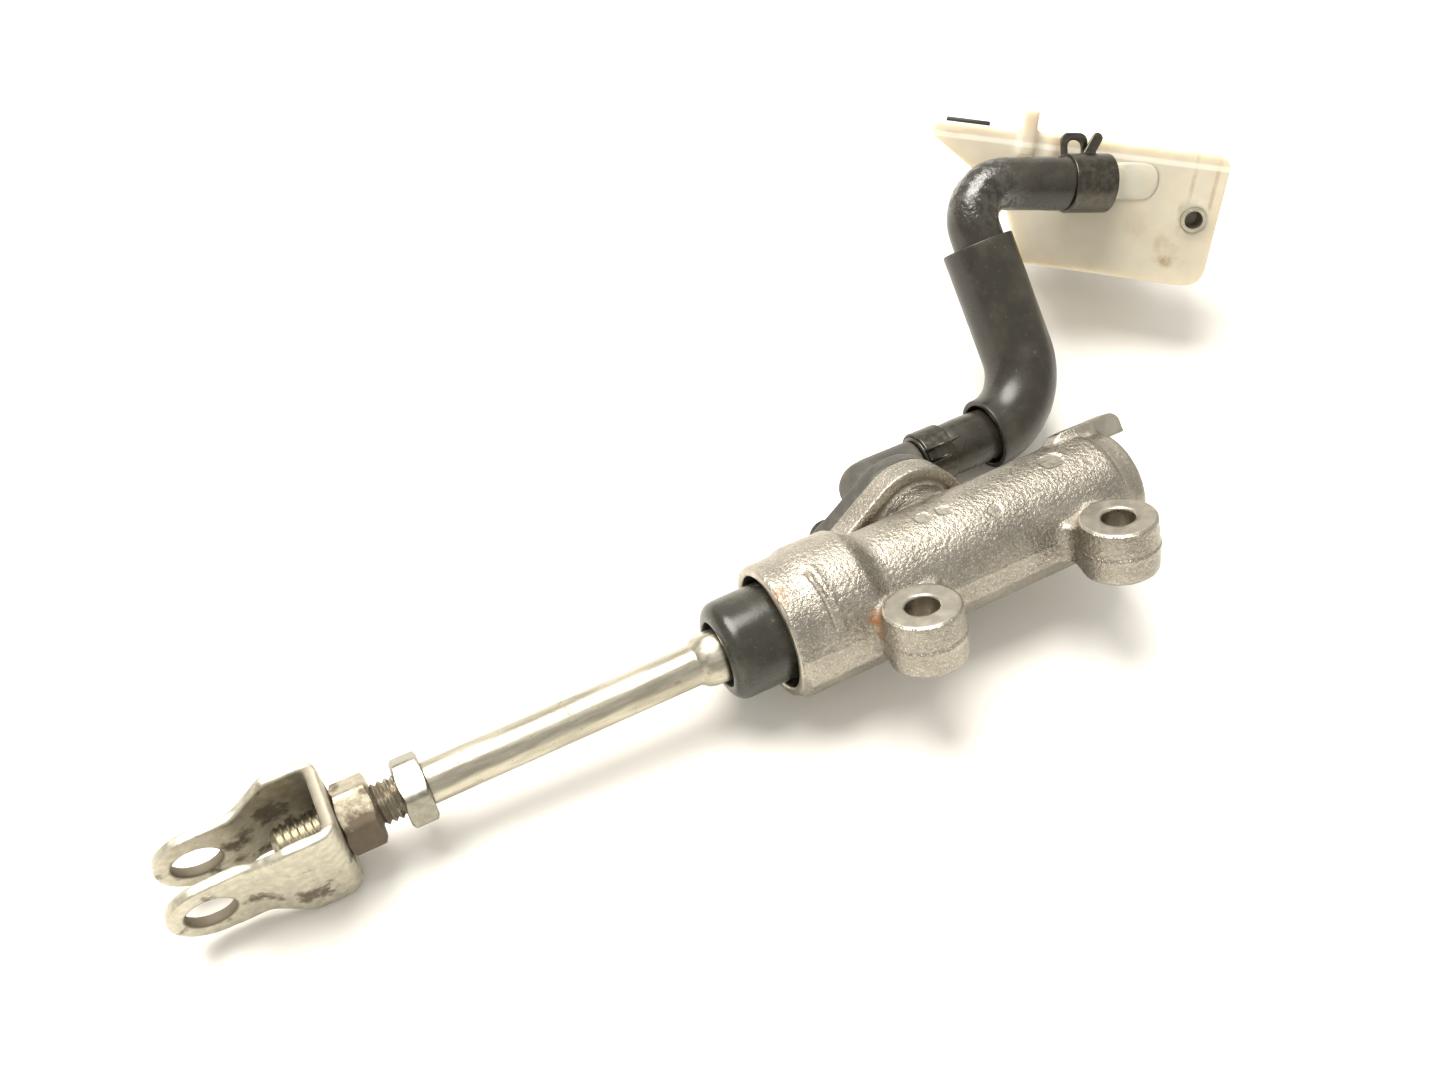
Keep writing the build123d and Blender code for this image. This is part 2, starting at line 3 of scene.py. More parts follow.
import bmesh
import bpy
import numpy as np
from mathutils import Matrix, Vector


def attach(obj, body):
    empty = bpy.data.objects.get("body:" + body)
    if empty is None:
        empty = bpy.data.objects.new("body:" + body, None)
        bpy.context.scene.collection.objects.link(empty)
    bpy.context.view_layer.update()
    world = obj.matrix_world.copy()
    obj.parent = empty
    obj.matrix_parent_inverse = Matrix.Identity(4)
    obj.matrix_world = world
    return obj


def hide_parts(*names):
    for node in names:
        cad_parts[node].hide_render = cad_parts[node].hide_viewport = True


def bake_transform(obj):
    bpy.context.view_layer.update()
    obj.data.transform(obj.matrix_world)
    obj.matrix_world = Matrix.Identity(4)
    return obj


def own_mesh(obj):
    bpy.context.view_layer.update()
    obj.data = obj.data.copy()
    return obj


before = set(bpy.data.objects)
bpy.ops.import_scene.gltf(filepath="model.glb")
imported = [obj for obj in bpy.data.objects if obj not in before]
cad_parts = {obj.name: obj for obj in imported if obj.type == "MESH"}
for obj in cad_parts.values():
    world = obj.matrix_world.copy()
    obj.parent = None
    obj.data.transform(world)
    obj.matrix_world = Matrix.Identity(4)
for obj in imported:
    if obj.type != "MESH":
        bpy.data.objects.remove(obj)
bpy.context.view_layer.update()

# Shapes are made in millimetres in the row frame and scaled when a piece is finished.
MM = 0.001

# ---- driving dimensions, as in the CAD model -------------------------------------------------
BODY_ROLL = math.radians(-25)
BALL_X, BALL_R = -58.5, 4.5
MOUTH_X = -82.4
LUG_X = (-14.0, -59.0)
LUG_Y, LUG_HALF, LUG_R, LUG_HOLE_R = -19.3, 5.7, 7.65, 3.25
SEAT_Y = 17.2
ROD_R, THREAD_PITCH, THREAD_DEPTH = 4.0, 1.25, 0.6
FLANGE_R = 5.4
THREAD_START_X, ROD_TIP_X = -151.9, -178.8
COLLAR_X, COLLAR_R = -94.3, 5.7
LOCK_NUT_X, LOCK_NUT_T = -156.5, 5.0
CLEVIS_BASE_X, CLEVIS_NUT_T, CLEVIS_EYE_X = -167.4, 6.4, -191.3
NUT_AF, NUT_BORE_R, NUT_BORE_MOUTH_R = 12.0, 4.06, 4.5
BOOT_ROOT_X, BOOT_SPLIT_X, BOOT_RIM_X = -68.1, -85.5, -93.5
HOSE_R, HOSE_BORE_R, SLEEVE_R, SLEEVE_BORE_R = 6.0, 3.8, 8.2, 7.0
HOSE_Y = 34.2 * math.cos(BODY_ROLL) - 2.0 * math.sin(BODY_ROLL)
HOSE_Z = 34.2 * math.sin(BODY_ROLL) + 2.0 * math.cos(BODY_ROLL)
HOSE_ROUTE = [(-26.4, HOSE_Y, HOSE_Z), (7.8, HOSE_Y, HOSE_Z), (7.8, 75.0, 23.0), (43.0, 63.4, 18.8)]
HOSE_BENDS = (15.0, 8.2)
HOSE_STEP = 0.6           # spacing of the hose's rings
PASSAGE_R = 2.6
CLIP_T = 0.7
TANK_ORIGIN = Vector((27.1, 69.6, -4.0))
TANK_YAW, TANK_LEAN = math.radians(-39.7), math.radians(30)
TANK_ALONG = Vector((math.cos(TANK_YAW), math.sin(TANK_YAW), 0))
TANK_OUT = Vector((math.sin(TANK_YAW) * math.cos(TANK_LEAN),
                   -math.cos(TANK_YAW) * math.cos(TANK_LEAN), math.sin(TANK_LEAN)))
TANK_UP = TANK_OUT.cross(TANK_ALONG)


# ---- mesh helpers ----------------------------------------------------------------------------
def cad_arrays(node):
    """A CAD node's corners in millimetres and its faces."""
    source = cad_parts[node]
    points = np.array([source.matrix_world @ v.co for v in source.data.vertices]) / MM
    return points, [tuple(p.vertices) for p in source.data.polygons]


def turned_about_x(points, angle):
    c, s = math.cos(angle), math.sin(angle)
    out = points.copy()
    out[:, 1] = c * points[:, 1] - s * points[:, 2]
    out[:, 2] = s * points[:, 1] + c * points[:, 2]
    return out


def remeshed(points, faces, voxel):
    """Rebuild a closed shape, or several that overlap, as one even skin."""
    mesh = bpy.data.meshes.new("rough")
    mesh.from_pydata(points.tolist(), [], faces)
    rough = bpy.data.objects.new("rough", mesh)
    bpy.context.collection.objects.link(rough)
    modifier = rough.modifiers.new("skin", "REMESH")
    modifier.mode = "VOXEL"
    modifier.voxel_size = voxel
    graph = bpy.context.evaluated_depsgraph_get()
    skin = rough.evaluated_get(graph).to_mesh()
    out = np.empty(len(skin.vertices) * 3)
    skin.vertices.foreach_get("co", out)
    skin_faces = [tuple(p.vertices) for p in skin.polygons]
    bpy.data.objects.remove(rough)
    bpy.data.meshes.remove(mesh)
    return out.reshape(-1, 3), skin_faces


def edge_list(faces):
    pairs = set()
    for face in faces:
        for a, b in zip(face, face[1:] + face[:1]):
            pairs.add((a, b) if a < b else (b, a))
    return np.array(sorted(pairs))


def point_normals(points, quads):
    cross = np.cross(points[quads[:, 2]] - points[quads[:, 0]],
                     points[quads[:, 3]] - points[quads[:, 1]])
    normals = np.zeros_like(points)
    for corner in range(4):
        for axis in range(3):
            normals[:, axis] += np.bincount(quads[:, corner], cross[:, axis], len(points))
    return normals / np.maximum(np.linalg.norm(normals, axis=1, keepdims=True), 1e-12)


def relaxed(points, faces, steps, free=1.0, fill_only=False):
    """Smooth a skin. With fill_only it just grows fillets into its inside corners."""
    edges = edge_list(faces)
    a, b = edges[:, 0], edges[:, 1]
    count = len(points)
    degree = np.maximum(np.bincount(a, minlength=count) + np.bincount(b, minlength=count), 1)
    quads = np.array([f if len(f) == 4 else f + f[-1:] for f in faces]) if fill_only else None
    free = np.broadcast_to(np.asarray(free, float), (count,))[:, None]
    points = points.copy()
    for _ in range(steps):
        pull = np.empty_like(points)
        for axis in range(3):
            pull[:, axis] = (np.bincount(a, points[b, axis], count)
                             + np.bincount(b, points[a, axis], count)) / degree
        pull -= points
        if fill_only:
            outward = np.sum(pull * point_normals(points, quads), axis=1, keepdims=True)
            pull = np.where(outward > 0, pull, 0.0)
        points += 0.5 * free * pull
    return points


def smooth_step(value, low, high):
    t = np.clip((value - low) / (high - low), 0, 1)
    return t * t * (3 - 2 * t)


def arc_path(corners, radii, steps=8):
    """Points along a route whose corners are rounded; works in two or three dimensions."""
    corners = [Vector(c) for c in corners]
    path = [corners[0]]
    for before, here, after, radius in zip(corners, corners[1:], corners[2:], radii):
        way_in, way_out = (here - before).normalized(), (after - here).normalized()
        turn = way_in.angle(way_out)
        if turn < 1e-3 or radius <= 0:
            path.append(here)
            continue
        reach = radius * math.tan(turn / 2)
        start = here - way_in * reach
        side = (way_out - way_in * way_in.dot(way_out)).normalized()
        for i in range(steps + 1):
            angle = turn * i / steps
            path.append(start + way_in * (radius * math.sin(angle))
                        + side * (radius * (1 - math.cos(angle))))
    path.append(corners[-1])
    return path


def resampled(path, spacing):
    """The same route with evenly spaced points."""
    points = np.array([tuple(p) for p in path], float)
    along = np.concatenate([[0], np.cumsum(np.linalg.norm(np.diff(points, axis=0), axis=1))])
    stations = np.linspace(0, along[-1], max(2, int(round(along[-1] / spacing)) + 1))
    return np.stack([np.interp(stations, along, points[:, k]) for k in range(points.shape[1])], 1)


def filled_in(outline, spacing):
    """A closed outline with its corners kept and points added along its sides."""
    points = []
    for start, end in zip(outline, outline[1:] + outline[:1]):
        start, end = np.array(start[:2], float), np.array(end[:2], float)
        parts = max(1, int(round(np.linalg.norm(end - start) / spacing)))
        points += [tuple(start + (end - start) * i / parts) for i in range(parts)]
    return points


def rings_mesh(rings, close_rows=False, cap_ends=False):
    """Skin over rings that all have the same number of points."""
    count = len(rings[0])
    rows = len(rings)
    points = np.concatenate(rings)
    faces = []
    for row in range(rows if close_rows else rows - 1):
        here, there = row * count, (row + 1) % rows * count
        for i in range(count):
            j = (i + 1) % count
            faces.append((here + i, here + j, there + j, there + i))
    if cap_ends:
        faces.append(tuple(range(count))[::-1])
        faces.append(tuple((rows - 1) * count + i for i in range(count)))
    return points, faces


def lathe(profile, segments=96, wobble=None):
    """Turn a closed (x, radius) outline about X. wobble(x, angle) moves the radius."""
    angles = np.linspace(0, 2 * math.pi, segments, endpoint=False)
    rings = []
    for x, radius in profile:
        r = radius + (wobble(x, angles) if wobble else 0)
        rings.append(np.stack([np.full(segments, x), r * np.cos(angles), r * np.sin(angles)], 1))
    return rings_mesh(rings, close_rows=True)


def rounded_outline(corners, radii, steps=6):
    """A closed outline with rounded corners, as plain tuples."""
    closed = [corners[-1]] + list(corners) + [corners[0]]
    flat = [Vector((c[0], c[1], 0)) for c in closed]
    return [(p.x, p.y) for p in arc_path(flat, radii, steps)[1:-1]]


def sweep_frames(centres):
    """Directions across a route that don't twist."""
    ahead = np.gradient(centres, axis=0)
    ahead /= np.linalg.norm(ahead, axis=1, keepdims=True)
    side = np.cross(ahead[0], (0.0, 0.0, 1.0))
    sides = []
    for direction in ahead:
        side = side - direction * np.dot(side, direction)
        side /= np.linalg.norm(side)
        sides.append(side.copy())
    sides = np.array(sides)
    return sides, np.cross(ahead, sides)


def pipe(centres, outer, inner, segments=48, lip=0.5):
    """Tube with rounded lips. outer and inner give each station's radius (and take the angle)."""
    angles = np.linspace(0, 2 * math.pi, segments, endpoint=False)
    sides, tops = sweep_frames(centres)
    ahead = np.cross(sides, tops)

    def ring(i, radius, push=0.0):
        across = np.cos(angles)[:, None] * sides[i] + np.sin(angles)[:, None] * tops[i]
        return centres[i] + across * np.reshape(radius, (-1, 1)) + ahead[i] * push

    last = len(centres) - 1
    rings = []
    for i in range(last + 1):
        rings.append(ring(i, outer(i, angles)))
    for share in (0.35, 0.7, 0.95):
        drop = lip * (1 - math.cos(share * math.pi / 2))
        rings.append(ring(last, outer(last, angles) - drop, lip * math.sin(share * math.pi / 2)))
    rings.append(ring(last, inner(last, angles) + 0.3 * lip, lip))
    for i in range(last, -1, -1):
        rings.append(ring(i, inner(i, angles)))
    rings.append(ring(0, inner(0, angles) + 0.3 * lip, -lip))
    for share in (0.95, 0.7, 0.35):
        drop = lip * (1 - math.cos(share * math.pi / 2))
        rings.append(ring(0, outer(0, angles) - drop, -lip * math.sin(share * math.pi / 2)))
    return rings_mesh(rings, close_rows=True)


def joined(*shapes):
    points, faces = [], []
    for shape_points, shape_faces in shapes:
        base = sum(len(p) for p in points)
        points.append(np.asarray(shape_points, float))
        faces += [tuple(base + i for i in face) for face in shape_faces]
    return np.concatenate(points), faces


def slab(outline, low, high):
    """Closed prism from a flat outline; the third direction is its thickness."""
    rings = [np.array([(x, y, z) for x, y in outline]) for z in (low, high)]
    return rings_mesh(rings, cap_ends=True)


def placed(shape, origin, x_dir, z_dir):
    """Move a shape from its own axes into the row frame."""
    x_dir, z_dir = Vector(x_dir).normalized(), Vector(z_dir).normalized()
    y_dir = z_dir.cross(x_dir).normalized()
    x_dir = y_dir.cross(z_dir)
    turn = np.array([x_dir, y_dir, z_dir])
    return shape[0] @ turn + np.array(origin), shape[1]


def piece(name, shape, body, nodes, slot, material, sharp=None, **attributes):
    """Finish a shape as an object that rides on a CAD body in place of its nodes."""
    points, faces = shape
    mesh = bpy.data.meshes.new(name)
    mesh.from_pydata((points * MM).tolist(), [], faces)
    work = bmesh.new()
    work.from_mesh(mesh)
    bmesh.ops.recalc_face_normals(work, faces=work.faces)
    work.to_mesh(mesh)
    work.free()
    mesh.shade_smooth()
    if sharp:
        mesh.set_sharp_from_angle(angle=math.radians(sharp))
    for key, values in attributes.items():
        layer = mesh.attributes.new(key, "FLOAT", "POINT")
        layer.data.foreach_set("value", np.asarray(values, np.float32))
    mesh.materials.append(material)
    made = bpy.data.objects.new(name, mesh)
    bpy.context.collection.objects.link(made)
    if body:
        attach(made, body)
    if nodes:
        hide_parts(*nodes)
    return made


# ---- materials -------------------------------------------------------------------------------
class Paint:
    """A node material, built with short calls. Positions are in metres in the row frame."""

    def __init__(self, name):
        self.material = bpy.data.materials.new(name)
        self.material.use_nodes = True
        self.tree = self.material.node_tree
        self.shader = self.tree.nodes["Principled BSDF"]
        self.place = self.node("ShaderNodeTexCoord").outputs["Object"]

    def node(self, kind, **settings):
        made = self.tree.nodes.new(kind)
        for key, value in settings.items():
            setattr(made, key, value)
        return made

    def feed(self, socket, value):
        if isinstance(value, bpy.types.NodeSocket):
            self.tree.links.new(value, socket)
        elif isinstance(value, tuple) and len(value) == 3 and socket.type == "RGBA":
            socket.default_value = (*value, 1)
        else:
            socket.default_value = value

    def math(self, operation, a, b=0.0, c=0.0, clamp=False):
        made = self.node("ShaderNodeMath", operation=operation, use_clamp=clamp)
        for socket, value in zip(made.inputs, (a, b, c)):
            self.feed(socket, value)
        return made.outputs[0]

    def noise(self, size_mm, detail=3.0, rough=0.5, stretch=(1, 1, 1), shift=(0, 0, 0)):
        """Cloudy value around 0.5 whose blobs are about size_mm across."""
        spread = self.node("ShaderNodeMapping")
        self.feed(spread.inputs["Vector"], self.place)
        spread.inputs["Scale"].default_value = stretch
        spread.inputs["Location"].default_value = shift
        made = self.node("ShaderNodeTexNoise")
        self.feed(made.inputs["Vector"], spread.outputs[0])
        made.inputs["Scale"].default_value = 1 / (size_mm * MM)
        made.inputs["Detail"].default_value = detail
        made.inputs["Roughness"].default_value = rough
        return made.outputs[0]

    def cells(self, size_mm, feature="F1"):
        made = self.node("ShaderNodeTexVoronoi", feature=feature)
        self.feed(made.inputs["Vector"], self.place)
        made.inputs["Scale"].default_value = 1 / (size_mm * MM)
        return made.outputs["Distance"]

    def span(self, value, low, high, out_low=0.0, out_high=1.0):
        made = self.node("ShaderNodeMapRange", interpolation_type="SMOOTHSTEP")
        for key, number in (("Value", value), ("From Min", low), ("From Max", high),
                            ("To Min", out_low), ("To Max", out_high)):
            self.feed(made.inputs[key], number)
        return made.outputs[0]

    def mix(self, share, a, b):
        made = self.node("ShaderNodeMix", data_type="RGBA")
        self.feed(made.inputs["Factor"], share)
        self.feed(made.inputs[6], a)
        self.feed(made.inputs[7], b)
        return made.outputs[2]

    def attribute(self, name):
        return self.node("ShaderNodeAttribute", attribute_name=name).outputs["Fac"]

    def bump(self, height, depth_mm, strength=1.0, under=None):
        made = self.node("ShaderNodeBump")
        self.feed(made.inputs["Height"], height)
        made.inputs["Distance"].default_value = depth_mm * MM
        made.inputs["Strength"].default_value = strength
        if under is not None:
            self.feed(made.inputs["Normal"], under)
        return made.outputs[0]

    def near(self, centre_mm, radius_mm, soft=0.5):
        """1 close to a point of the row frame, fading to 0."""
        made = self.node("ShaderNodeVectorMath", operation="DISTANCE")
        self.feed(made.inputs[0], self.place)
        made.inputs[1].default_value = tuple(v * MM for v in centre_mm)
        edge = radius_mm * MM
        return self.span(made.outputs["Value"], edge * (1 - soft), edge * (1 + soft), 1.0, 0.0)

    def finish(self, **inputs):
        for key, value in inputs.items():
            self.feed(self.shader.inputs[key.replace("_", " ").title()
                                         .replace("Ior", "IOR")], value)
        return self.material


def cast_aluminium():
    """Die-cast aluminium: a hammered skin, smoother where it was machined, with brown muck and painted
    shade darkening its inside corners.
    """
    p = Paint("cast_aluminium")
    machined, hollow = p.attribute("machined"), p.attribute("hollow")
    patches = p.noise(8, 4)
    dimples = p.noise(0.85, 2, 0.5)
    grain = p.noise(0.34, 3, 0.6)
    cast = p.mix(p.span(patches, 0.35, 0.65), (0.295, 0.27, 0.225), (0.385, 0.353, 0.297))
    cast = p.mix(p.span(grain, 0.50, 0.72, 0.0, 0.8), cast, (0.72, 0.675, 0.59))
    cast = p.mix(p.span(dimples, 0.46, 0.30, 0.0, 0.4), cast, (0.22, 0.196, 0.156))
    flat = p.mix(p.span(p.noise(3, 4), 0.4, 0.7), (0.39, 0.36, 0.30), (0.49, 0.455, 0.385))
    colour = p.mix(machined, cast, flat)
    # Inside corners (the hollow attribute) turn brown: muck and painted shade.
    dirt_and_shade = p.math("MULTIPLY", p.span(hollow, 0.25, 1.0), p.span(p.noise(2.2, 5), 0.32, 0.58))
    colour = p.mix(p.math("MULTIPLY", dirt_and_shade, 0.25), colour, (0.13, 0.10, 0.065))
    rust = p.near((-66.1, -11.6, 9.0), 1.7)
    rust = p.math("MAXIMUM", rust, p.near((-65.6, -13.6, 7.0), 1.4))
    rust = p.math("MAXIMUM", rust, p.math("MULTIPLY", p.near((-81.3, -1.6, 13.2), 1.9), 0.6))
    rust = p.math("MULTIPLY", rust, p.span(p.noise(0.9, 4), 0.34, 0.56))
    colour = p.mix(rust, colour, (0.27, 0.125, 0.045))
    dirt_rust_and_shade = p.math("MAXIMUM", dirt_and_shade, rust)
    rough = p.span(p.noise(1.6, 4), 0.3, 0.7, 0.27, 0.43)
    rough = p.math("ADD", rough, p.math("MULTIPLY", dirt_rust_and_shade, 0.3), clamp=True)
    depth = p.math("SUBTRACT", 1.0, p.math("MULTIPLY", machined, 0.9))
    height = p.math("ADD", p.math("MULTIPLY", dimples, 0.72), p.math("MULTIPLY", grain, 0.36))
    height = p.math("MULTIPLY", height, depth)
    ridge = p.math("MULTIPLY", p.attribute("seam"), 0.55)
    normal = p.bump(p.math("ADD", height, ridge), 0.34, 1.0)
    return p.finish(base_color=colour, metallic=p.span(dirt_rust_and_shade, 0, 1, 1.0, 0.3), roughness=rough,
                    normal=normal)


def plated_steel(name, light, dark, grime, wear=0.5, stretch=(1, 1, 1), dull=0.0, grubby=None):
    """Zinc plating gone dull, with brown muck in patches and more of it around a grubby place; a
    piece's own attribute adds muck and painted shade.
    """
    p = Paint(name)
    streak = p.noise(1.4, 4, 0.6, stretch)
    blotch = p.noise(5.5, 5, 0.62)
    colour = p.mix(p.span(streak, 0.35, 0.7), dark, light)
    if grubby:
        centre, reach, amount = grubby
        blotch = p.math("ADD", blotch, p.math("MULTIPLY", p.near(centre, reach, 0.7), amount))
    stain_and_shade = p.span(blotch, wear, wear + 0.14)
    speck = p.span(p.noise(0.7, 4, 0.7), 0.62, 0.68)
    stain_and_shade = p.math("MAXIMUM", stain_and_shade, p.math("MULTIPLY", speck, 0.6))
    # A piece's own attribute adds brown muck and painted shade here.
    stain_and_shade = p.math("MAXIMUM", stain_and_shade, p.math("MULTIPLY", p.attribute("grime"), 0.95))
    colour = p.mix(p.math("MULTIPLY", stain_and_shade, 0.85), colour, grime)
    rough = p.math("ADD", p.span(streak, 0.3, 0.7, 0.22 + dull, 0.34 + dull),
                   p.math("MULTIPLY", stain_and_shade, 0.3), clamp=True)
    normal = p.bump(p.noise(0.5, 3, 0.6), 0.05, 0.5)
    return p.finish(base_color=colour, metallic=p.span(stain_and_shade, 0, 1, 1.0, 0.35), roughness=rough,
                    normal=normal)


def rubber(name, base, dust, gloss=0.42, scuffing=0.3, wet_at=None):
    """Black rubber with a film of dust, scuffs and, near wet_at, a patch of spilt fluid."""
    p = Paint(name)
    cloud = p.noise(7, 5, 0.6)
    colour = p.mix(p.math("MULTIPLY", p.span(cloud, 0.4, 0.8), 0.2), base, dust)
    scuff = p.span(p.noise(1.3, 5, 0.7, stretch=(1, 1, 0.4)), 0.60, 0.74)
    colour = p.mix(p.math("MULTIPLY", scuff, scuffing), colour, dust)
    rough = p.math("ADD", p.span(cloud, 0.3, 0.8, gloss, gloss + 0.2),
                   p.math("MULTIPLY", scuff, 0.12), clamp=True)
    normal = p.bump(p.noise(0.35, 3), 0.04, 0.5)
    if wet_at is None:
        return p.finish(base_color=colour, roughness=rough, normal=normal)
    film = p.math("MULTIPLY", p.near(wet_at, 8.5, 0.35),
                  p.span(p.noise(1.9, 4, 0.65), 0.44, 0.52))
    ripple = p.bump(p.noise(0.8, 3), 0.35, 1.0)
    p.feed(p.shader.inputs["Coat Normal"], ripple)
    return p.finish(base_color=colour, roughness=rough, normal=normal, coat_weight=film,
                    coat_roughness=0.04)


def black_plastic(name, base, dust):
    p = Paint(name)
    cloud = p.noise(4, 5, 0.6)
    colour = p.mix(p.math("MULTIPLY", p.span(cloud, 0.4, 0.75), 0.6), base, dust)
    fibre = p.noise(0.3, 2, 0.5, stretch=(0.5, 1, 1))
    colour = p.mix(p.span(fibre, 0.66, 0.8, 0.0, 0.25), colour, dust)
    normal = p.bump(p.noise(0.25, 3), 0.05, 0.6)
    return p.finish(base_color=colour, roughness=p.span(cloud, 0.3, 0.7, 0.40, 0.60),
                    normal=normal)


def tank_plastic():
    """Milky nylon, aged to cream, with brake fluid stains and a painted highlight along its top edge.
    """
    p = Paint("tank_plastic")
    along, up = p.attribute("along"), p.attribute("up")
    haze = p.noise(14, 4, 0.5)
    colour = p.mix(p.span(haze, 0.3, 0.7), (0.55, 0.495, 0.385), (0.65, 0.59, 0.475))

    def spot(a, u, wide, high, share, grain=None):
        x = p.math("DIVIDE", p.math("SUBTRACT", along, a), wide)
        y = p.math("DIVIDE", p.math("SUBTRACT", up, u), high)
        far = p.math("SQRT", p.math("ADD", p.math("MULTIPLY", x, x), p.math("MULTIPLY", y, y)))
        near = p.span(far, 0.35, 1.0, share, 0.0)
        return p.math("MULTIPLY", near, p.span(grain, 0.38, 0.62)) if grain else near

    smear = p.noise(3.2, 5, 0.65)
    brown = spot(35.2, 5.6, 4.6, 2.1, 0.85, smear)
    for args in ((32.6, 9.5, 2.6, 3.5, 0.4, smear), (35.6, 17.0, 1.6, 6.0, 0.5, smear),
                 (41.6, 22.0, 0.7, 6.5, 0.55, smear), (27.0, 13.0, 6.0, 4.0, 0.22, smear),
                 (-22.0, 28.6, 5.0, 0.9, 0.5, smear)):
        brown = p.math("MAXIMUM", brown, spot(*args))
    # The moulded column behind the insert shows through as two brownish edges.
    for edge in (36.5, 41.6):
        line = p.span(p.math("ABSOLUTE", p.math("SUBTRACT", along, edge)), 0.15, 0.75, 0.5, 0.0)
        line = p.math("MULTIPLY", line, p.span(up, 18.0, 20.0))
        brown = p.math("MAXIMUM", brown, p.math("MULTIPLY", line, p.span(smear, 0.3, 0.6)))
    colour = p.mix(brown, colour, (0.36, 0.27, 0.16))
    # Painted highlight: a light band along the tank's top edge.
    band = p.span(p.math("ABSOLUTE", p.math("SUBTRACT", up, 28.3)), 0.3, 0.9, 0.55, 0.0)
    colour = p.mix(band, colour, (0.93, 0.88, 0.78))
    speck = p.span(p.noise(0.9, 3, 0.7), 0.70, 0.74)
    colour = p.mix(p.math("MULTIPLY", speck, 0.5), colour, (0.30, 0.22, 0.13))
    normal = p.bump(p.noise(2.5, 3), 0.05, 0.4)
    p.shader.inputs["Subsurface Radius"].default_value = (1.0, 0.72, 0.42)
    return p.finish(base_color=colour, roughness=p.span(haze, 0.3, 0.7, 0.26, 0.38),
                    subsurface_weight=0.75, subsurface_scale=0.006, normal=normal)


ROD_ZINC = plated_steel("drawn_zinc", (0.58, 0.545, 0.44), (0.38, 0.35, 0.275),
                        (0.11, 0.08, 0.045), 0.60, (0.12, 1, 1), 0.05, ((-159.0, 0.0, 0.0), 5.5, 0.35))
NUT_ZINC = plated_steel("nut_zinc", (0.37, 0.35, 0.29), (0.25, 0.235, 0.19),
                        (0.13, 0.095, 0.058), 0.575, (1, 1, 1), 0.12)
ZINC = plated_steel("zinc_plate", (0.64, 0.605, 0.50), (0.48, 0.45, 0.36), (0.095, 0.068, 0.038), 0.57,
                    (1, 1, 1), 0.2, ((-174.0, 2.0, -4.0), 11.0, 0.16))
CLEAN_STEEL = plated_steel("bright_steel", (0.58, 0.57, 0.54), (0.44, 0.43, 0.41),
                           (0.26, 0.22, 0.17), 0.66)
RUST = plated_steel("rusty_plate", (0.50, 0.455, 0.35), (0.32, 0.28, 0.20), (0.075, 0.048, 0.026), 0.56,
                    (1, 1, 1), 0.1, ((-165.0, -6.5, -1.0), 6.5, 0.42))
SPRING = plated_steel("black_spring_steel", (0.105, 0.098, 0.08), (0.07, 0.064, 0.052),
                      (0.13, 0.11, 0.075), 0.70, (1, 1, 1), 0.06)
CAST = cast_aluminium()
WET_AT = (11.5, 69.0, 23.0)
HOSE_RUBBER = rubber("hose_rubber", (0.022, 0.019, 0.013), (0.14, 0.12, 0.085), 0.19, 0.3, WET_AT)
SLEEVE_RUBBER = rubber("sleeve_rubber", (0.022, 0.019, 0.013), (0.17, 0.145, 0.105), 0.27, 0.45)
BOOT_RUBBER = rubber("boot_rubber", (0.024, 0.023, 0.016), (0.24, 0.22, 0.165), 0.20, 0.75)
SEAL_RUBBER = rubber("seal_rubber", (0.03, 0.03, 0.03), (0.08, 0.08, 0.075), 0.5)
BLACK_PLASTIC = black_plastic("black_plastic", (0.045, 0.041, 0.034), (0.13, 0.115, 0.085))
TANK_PLASTIC = tank_plastic()


